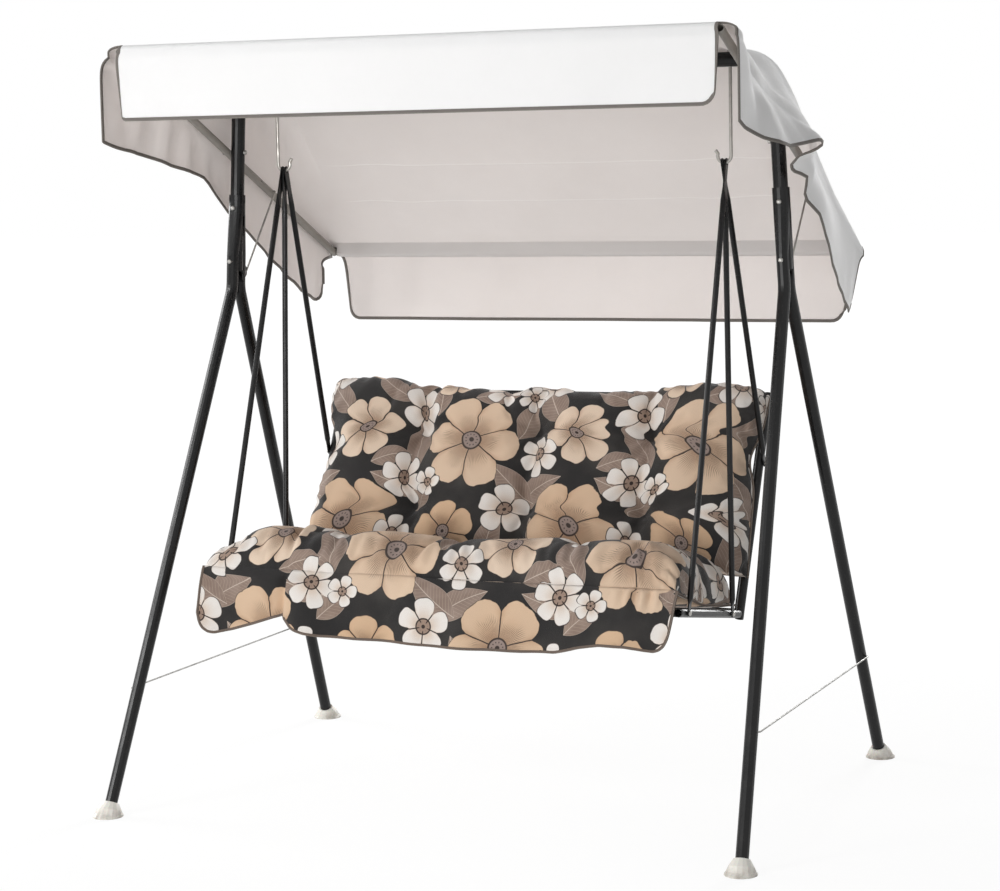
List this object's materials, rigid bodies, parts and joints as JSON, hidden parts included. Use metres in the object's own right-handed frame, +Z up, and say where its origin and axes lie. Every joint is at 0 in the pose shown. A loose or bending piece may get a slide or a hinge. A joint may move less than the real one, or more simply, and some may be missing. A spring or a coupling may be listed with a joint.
{
  "type": "garden swing seat",
  "caption": "Garden swing seat: black tube stand, a cushioned seat hung by rods from hooks in the beam, and a white cloth canopy with valances that tilts on stays.",
  "frame": {"origin": "on the floor, in the middle of the four feet", "axes": "+Z up; the person on the seat faces -Y; +X is the right-hand side as seen from the front, where the picture was taken"},
  "size_m": [1.675, 1.255, 1.8423],
  "materials": {
    "gloss_paint": "black gloss powder coat",
    "white_plastic": "slightly satin off-white moulding",
    "bright_steel": "bright plated fasteners and hooks",
    "zinc_steel": "dull zinc plate",
    "grey_paint": "satin grey paint",
    "white_cloth": "white woven canopy cloth with narrow grey binding",
    "printed_cloth": "black cotton with a cream, tan and brown flower print"
  },
  "bodies": {
    "stand": {"top_beam": "gloss_paint", "leg_front_left": "gloss_paint", "leg_front_right": "gloss_paint", "leg_rear_left": "gloss_paint", "leg_rear_right": "gloss_paint", "foot_cup_front_left": "white_plastic", "foot_cup_front_right": "white_plastic", "foot_cup_rear_left": "white_plastic", "foot_cup_rear_right": "white_plastic", "leg_bolt_upper_left": "bright_steel", "leg_bolt_upper_right": "bright_steel", "leg_bolt_lower_left": "bright_steel", "leg_bolt_lower_right": "bright_steel", "leg_nut_upper_left": "bright_steel", "leg_nut_upper_right": "bright_steel", "leg_nut_lower_left": "bright_steel", "leg_nut_lower_right": "bright_steel", "leg_tie_left": "zinc_steel", "leg_tie_right": "zinc_steel", "seat_hook_left": "bright_steel", "seat_hook_right": "bright_steel", "hook_nut_left": "bright_steel", "hook_nut_right": "bright_steel", "canopy_pivot_bolt_left": "bright_steel", "canopy_pivot_bolt_right": "bright_steel", "canopy_pivot_nut_left": "bright_steel", "canopy_pivot_nut_right": "bright_steel", "stay_bracket_left": "zinc_steel", "stay_bracket_right": "zinc_steel"},
    "canopy": {"canopy_side_tube_left": "grey_paint", "canopy_side_tube_right": "grey_paint", "canopy_front_tube": "grey_paint", "canopy_rear_tube": "grey_paint", "canopy_cloth": "white_cloth"},
    "stay_left": {"canopy_stay_left": "zinc_steel"},
    "stay_right": {"canopy_stay_right": "zinc_steel"},
    "seat": {"hanger_front_left": "gloss_paint", "hanger_front_right": "gloss_paint", "hanger_middle_left": "gloss_paint", "hanger_middle_right": "gloss_paint", "hanger_rear_left": "gloss_paint", "hanger_rear_right": "gloss_paint", "hanger_bolt_front_left": "bright_steel", "hanger_bolt_front_right": "bright_steel", "hanger_bolt_middle_left": "bright_steel", "hanger_bolt_middle_right": "bright_steel", "hanger_bolt_rear_left": "bright_steel", "hanger_bolt_rear_right": "bright_steel", "seat_side_tube_left": "gloss_paint", "seat_side_tube_right": "gloss_paint", "back_upright_left": "gloss_paint", "back_upright_right": "gloss_paint", "seat_front_rail": "gloss_paint", "seat_rear_rail": "gloss_paint", "back_top_rail": "gloss_paint", "seat_net": "gloss_paint", "back_net": "gloss_paint", "seat_cushion": "printed_cloth", "back_cushion": "printed_cloth", "seat_skirt": "printed_cloth"}
  },
  "joints": [
    {"name": "seat_swing", "type": "hinge", "parent": "stand", "child": "seat", "pos_m": [0, 0.01, 1.5415], "axis": [1, 0, 0], "range_deg": [-25, 25]},
    {"name": "canopy_tilt", "type": "hinge", "parent": "stand", "child": "canopy", "pos_m": [0, 0.01, 1.589], "axis": [1, 0, 0], "range_deg": [-3.5, 3]},
    {"name": "stay_left_swing", "type": "hinge", "parent": "stand", "child": "stay_left", "pos_m": [-0.7263, 0.0548, 1.28496], "axis": [1, 0, 0], "range_deg": [-13.5, 11.5]},
    {"name": "stay_right_swing", "type": "hinge", "parent": "stand", "child": "stay_right", "pos_m": [0.7263, 0.0548, 1.28496], "axis": [1, 0, 0], "range_deg": [-13.5, 11.5]}
  ],
  "couplings": [
    {"joint": "stay_left_swing", "follows": "canopy_tilt", "ratio": 3.8},
    {"joint": "stay_right_swing", "follows": "canopy_tilt", "ratio": 3.8}
  ]
}
